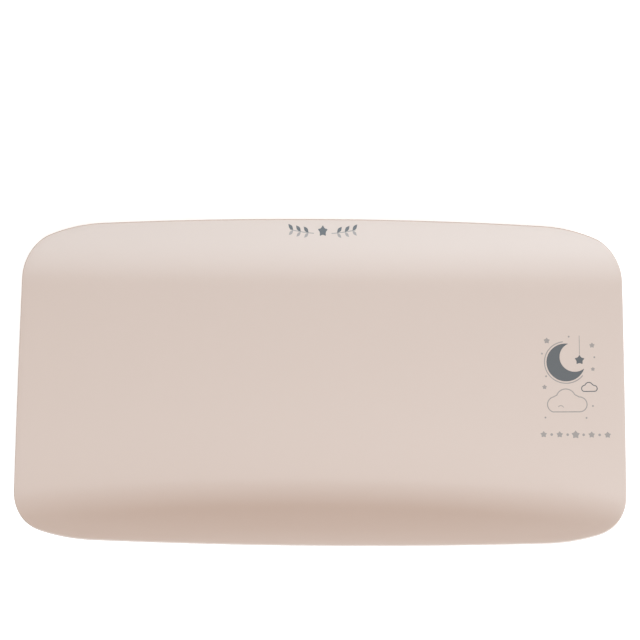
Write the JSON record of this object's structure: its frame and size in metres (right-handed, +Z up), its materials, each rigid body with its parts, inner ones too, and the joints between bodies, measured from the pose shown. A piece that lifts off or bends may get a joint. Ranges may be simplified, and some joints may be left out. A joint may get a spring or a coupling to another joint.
{
  "type": "digital baby weighing scale",
  "caption": "Digital baby weighing scale: wide cradle tray on a hollow base, with a display and push buttons under the tray's front edge, load-cell feet and a battery door.",
  "frame": {"origin": "centre of the footprint, on the surface that the feet stand on", "axes": "+X to the right along the tray's length, +Y to the rear, +Z up; the console faces -Y"},
  "size_m": [0.55, 0.3, 0.0719],
  "materials": {
    "tray_plastic": "satin moulded, fine grain",
    "base_plastic": "fine moulded texture",
    "fascia_plastic": "polished",
    "window_acrylic": "smoked clear",
    "lcd_glass": "polished",
    "light_guide": "diffusing",
    "rubber": "matte",
    "inner_plastic": "moulded",
    "board_laminate": "solder mask",
    "black_plastic": "moulded",
    "plug_plastic": "moulded",
    "button_plastic": "soft satin",
    "cell_steel": "ground",
    "gauge_coating": "cured silicone",
    "bright_steel": "nickel plated",
    "cell_jacket": "printed jacket",
    "red_insulation": "smooth",
    "black_insulation": "smooth",
    "grey_insulation": "smooth"
  },
  "bodies": {
    "scale_body": {"base_cover": "base_plastic", "battery_cell_1": "cell_jacket", "battery_cell_2": "cell_jacket", "battery_cell_3": "cell_jacket", "battery_cell_4": "cell_jacket", "battery_contacts": "bright_steel", "battery_lead_negative": "black_insulation", "battery_lead_positive": "red_insulation", "battery_plug": "plug_plastic", "battery_springs": "bright_steel", "board_screws": "bright_steel", "buzzer": "black_plastic", "console_fascia": "fascia_plastic", "controller_chip": "black_plastic", "converter_chip": "black_plastic", "cover_screws": "bright_steel", "display_window": "window_acrylic", "front_left_cell_holder": "inner_plastic", "front_left_foot": "inner_plastic", "front_left_foot_pad": "rubber", "front_left_lead": "grey_insulation", "front_left_load_button": "rubber", "front_left_load_cell": "cell_steel", "front_right_cell_holder": "inner_plastic", "front_right_foot": "inner_plastic", "front_right_foot_pad": "rubber", "front_right_lead": "grey_insulation", "front_right_load_button": "rubber", "front_right_load_cell": "cell_steel", "holder_screws": "bright_steel", "lcd_backlight": "light_guide", "lcd_contact_strip": "rubber", "lcd_glass": "lcd_glass", "lcd_holder": "inner_plastic", "load_cell_plugs": "plug_plastic", "main_board": "board_laminate", "rear_left_cell_holder": "inner_plastic", "rear_left_foot": "inner_plastic", "rear_left_foot_pad": "rubber", "rear_left_lead": "grey_insulation", "rear_left_load_button": "rubber", "rear_left_load_cell": "cell_steel", "rear_right_cell_holder": "inner_plastic", "rear_right_foot": "inner_plastic", "rear_right_foot_pad": "rubber", "rear_right_lead": "grey_insulation", "rear_right_load_button": "rubber", "rear_right_load_cell": "cell_steel", "strain_gauges": "gauge_coating", "switch_bodies": "black_plastic", "weighing_tray": "tray_plastic"},
    "power_key": {"power_button": "button_plastic", "power_switch_plunger": "black_plastic"},
    "unit_key": {"unit_button": "button_plastic", "unit_switch_plunger": "black_plastic"},
    "hold_key": {"hold_button": "button_plastic", "hold_switch_plunger": "black_plastic"},
    "tare_key": {"tare_button": "button_plastic", "tare_switch_plunger": "black_plastic"},
    "door": {"battery_door": "base_plastic"}
  },
  "joints": [
    {"name": "power_press", "type": "slide", "parent": "scale_body", "child": "power_key", "axis": [0, 0.9537, -0.3007], "range_m": [0, 0.0004], "stiffness_N_per_m": 2500},
    {"name": "unit_press", "type": "slide", "parent": "scale_body", "child": "unit_key", "axis": [0, 0.9537, -0.3007], "range_m": [0, 0.0004], "stiffness_N_per_m": 2500},
    {"name": "hold_press", "type": "slide", "parent": "scale_body", "child": "hold_key", "axis": [0, 0.9537, -0.3007], "range_m": [0, 0.0004], "stiffness_N_per_m": 2500},
    {"name": "tare_press", "type": "slide", "parent": "scale_body", "child": "tare_key", "axis": [0, 0.9537, -0.3007], "range_m": [0, 0.0004], "stiffness_N_per_m": 2500},
    {"name": "battery_door_hinge", "type": "hinge", "parent": "scale_body", "child": "door", "pos_m": [0, 0.0055, 0.009], "axis": [-1, 0, 0], "range_deg": [0, 75]}
  ]
}
